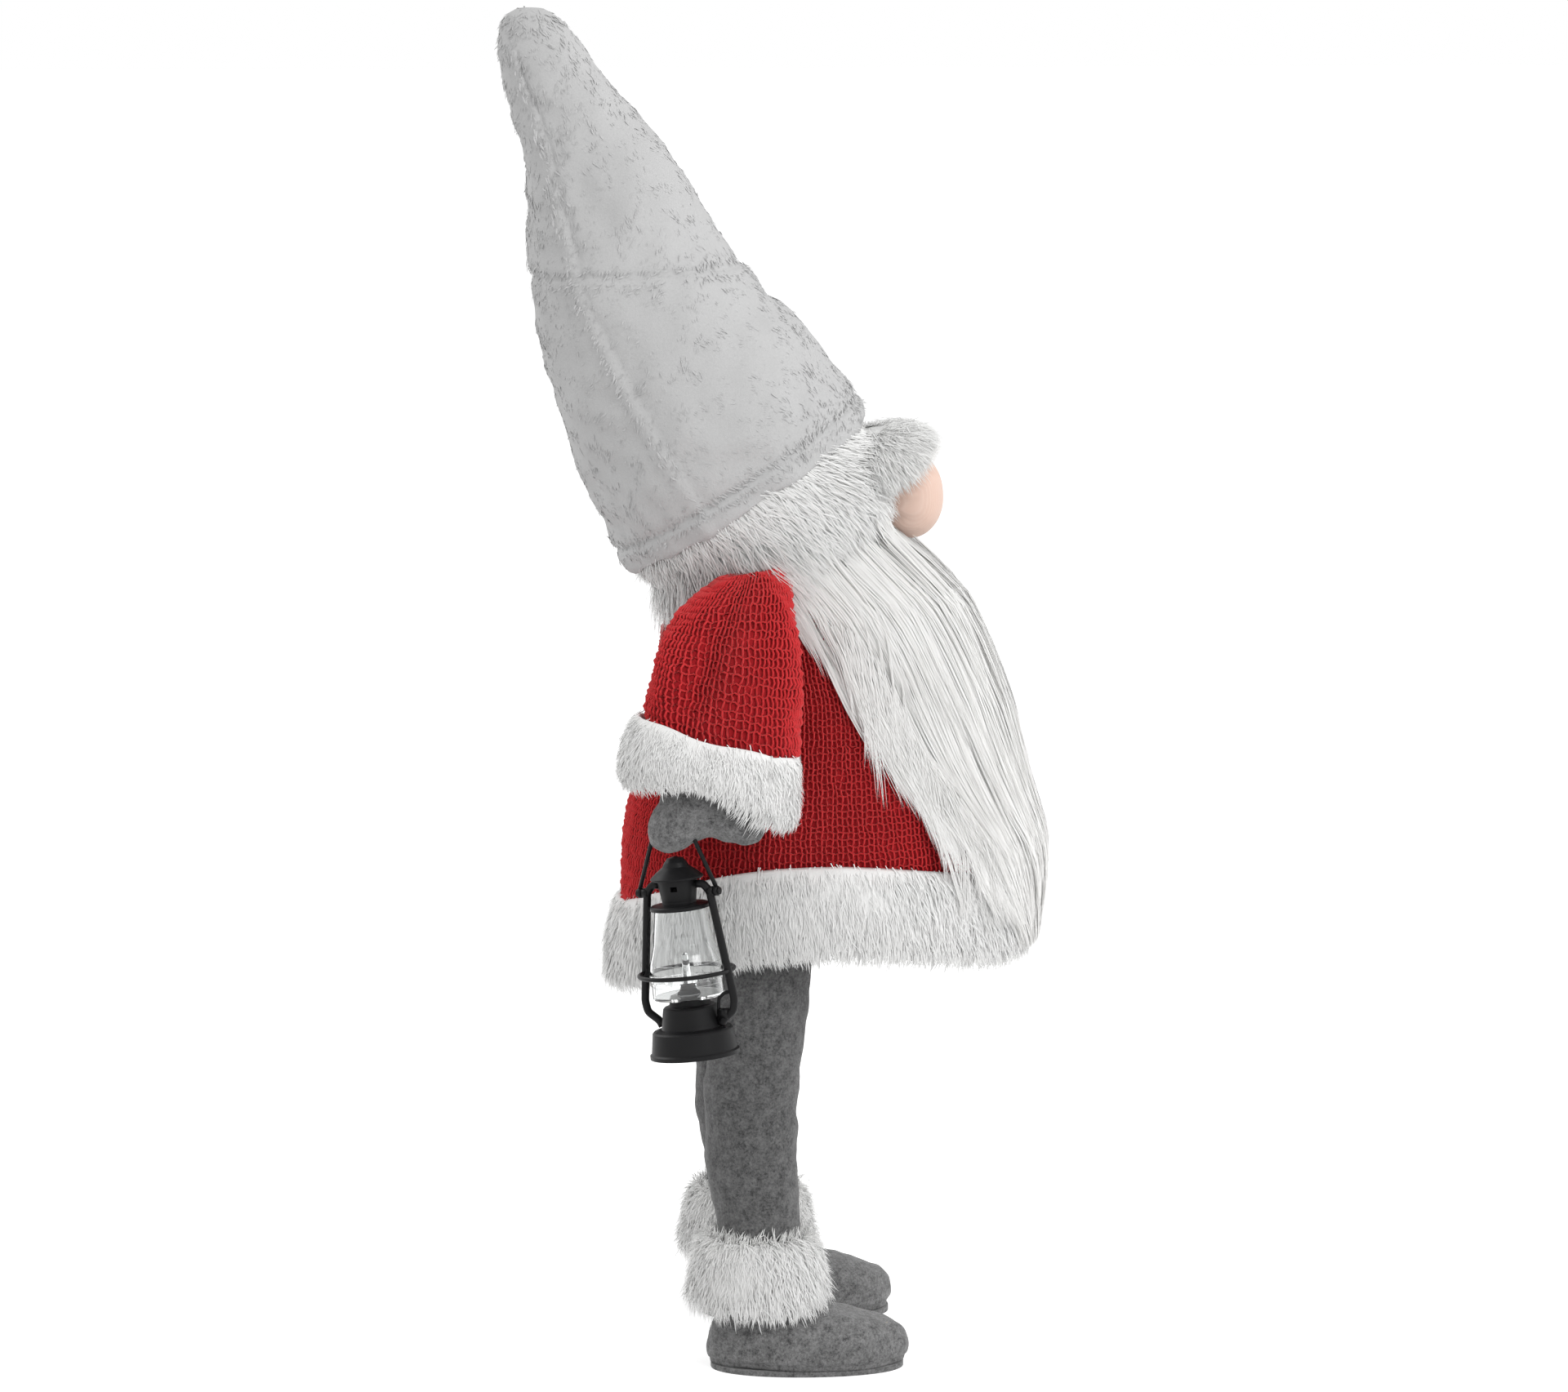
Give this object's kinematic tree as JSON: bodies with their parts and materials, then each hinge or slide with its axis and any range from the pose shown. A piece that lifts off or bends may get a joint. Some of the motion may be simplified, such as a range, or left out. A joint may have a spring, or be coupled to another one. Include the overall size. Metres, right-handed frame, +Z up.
{
  "type": "garden gnome figure",
  "caption": "Standing stuffed gnome with a tall pointed plush hat, ball nose, long beard and knitted coat, its hand holding a small hanging storm lantern.",
  "frame": {"origin": "middle of the footprint of the whole figure, on the floor under the soles", "axes": "+Z up, the gnome faces -Y and its right hand is at -X"},
  "size_m": [0.3498, 0.3392, 0.821],
  "materials": {
    "shoe_felt": "matte",
    "leg_felt": "matte",
    "mitten_felt": "matte",
    "ballast": "matte",
    "filling": "matte",
    "white_fur": "matte",
    "beard_fur": "matte",
    "grey_plush": "matte",
    "red_knit": "matte",
    "nose_cloth": "matte",
    "socket_plastic": "satin",
    "steel": "satin",
    "plywood": "matte",
    "black_wire": "satin",
    "black_plastic": "satin",
    "grey_plastic": "satin",
    "cell_steel": "polished",
    "contact_brass": "satin",
    "board": "satin",
    "clear_plastic": "gloss"
  },
  "bodies": {
    "figure": {"outsole_right": "shoe_felt", "outsole_left": "shoe_felt", "shoe_upper_right": "shoe_felt", "shoe_upper_left": "shoe_felt", "ballast_bag_right": "ballast", "ballast_bag_left": "ballast", "foot_socket_right": "socket_plastic", "foot_socket_left": "socket_plastic", "leg_tube_right": "steel", "leg_tube_left": "steel", "leg_padding_right": "filling", "leg_padding_left": "filling", "trouser_leg_right": "leg_felt", "trouser_leg_left": "leg_felt", "ankle_cuff_right": "white_fur", "ankle_cuff_left": "white_fur", "base_panel": "leg_felt", "seat_board": "plywood", "hip_socket_right": "socket_plastic", "hip_socket_left": "socket_plastic", "hip_screws": "steel", "body_filling": "filling", "coat": "red_knit", "coat_hem": "white_fur", "head_filling": "filling", "head_fur": "white_fur", "brow_fur": "white_fur", "nose": "nose_cloth", "beard": "beard_fur", "hat_lower": "grey_plush", "hat_filling_lower": "filling", "hat_bend_section": "grey_plush", "hat_wire": "steel"},
    "hat_top": {"hat_tip": "grey_plush", "hat_filling_tip": "filling"},
    "arm_right": {"sleeve_right": "red_knit", "arm_filling_right": "filling", "arm_wire_right": "steel", "cuff_right": "white_fur", "mitten_right": "mitten_felt"},
    "arm_left": {"sleeve_left": "red_knit", "arm_filling_left": "filling", "arm_wire_left": "steel", "cuff_left": "white_fur", "mitten_left": "mitten_felt"},
    "bail": {"bail": "black_wire"},
    "lantern": {"lantern_tank": "black_plastic", "base_plate": "black_plastic", "coin_cell": "cell_steel", "battery_contacts": "contact_brass", "led_board": "board", "led_lamp": "clear_plastic", "burner": "black_plastic", "globe": "clear_plastic", "lantern_cage": "black_plastic", "chimney": "black_plastic", "chimney_cap": "black_plastic"},
    "switch": {"switch_slider": "grey_plastic"},
    "door": {"battery_door": "black_plastic"}
  },
  "joints": [
    {"name": "hat_bend", "type": "hinge", "parent": "figure", "child": "hat_top", "pos_m": [0, 0.0875, 0.669], "axis": [1, 0, 0], "range_deg": [-12, 28], "deforming": ["hat_bend_section", "hat_wire"]},
    {"name": "shoulder_right", "type": "hinge", "parent": "figure", "child": "arm_right", "pos_m": [-0.0785, 0.023, 0.487], "axis": [-0.9563, 0, 0.2923], "range_deg": [-8, 14]},
    {"name": "shoulder_left", "type": "hinge", "parent": "figure", "child": "arm_left", "pos_m": [0.0785, 0.023, 0.487], "axis": [-0.9563, 0, -0.2923], "range_deg": [-22, 0]},
    {"name": "bail_in_hand", "type": "hinge", "parent": "arm_right", "child": "bail", "pos_m": [-0.14259, 0.07004, 0.34216], "axis": [0.4968, 0.8605, -0.1132], "range_deg": [-8, 20]},
    {"name": "lantern_on_bail", "type": "hinge", "parent": "bail", "child": "lantern", "pos_m": [-0.14445, 0.06681, 0.30937], "axis": [0.4968, 0.8605, -0.1132], "range_deg": [-8, 20]},
    {"name": "switch_slide", "type": "slide", "parent": "lantern", "child": "switch", "axis": [0.4968, 0.8605, -0.1132], "range_m": [0, 0.004]},
    {"name": "battery_door_pull", "type": "slide", "parent": "lantern", "child": "door", "axis": [-0.0566, -0.098, -0.9936], "range_m": [0, 0.02]}
  ]
}
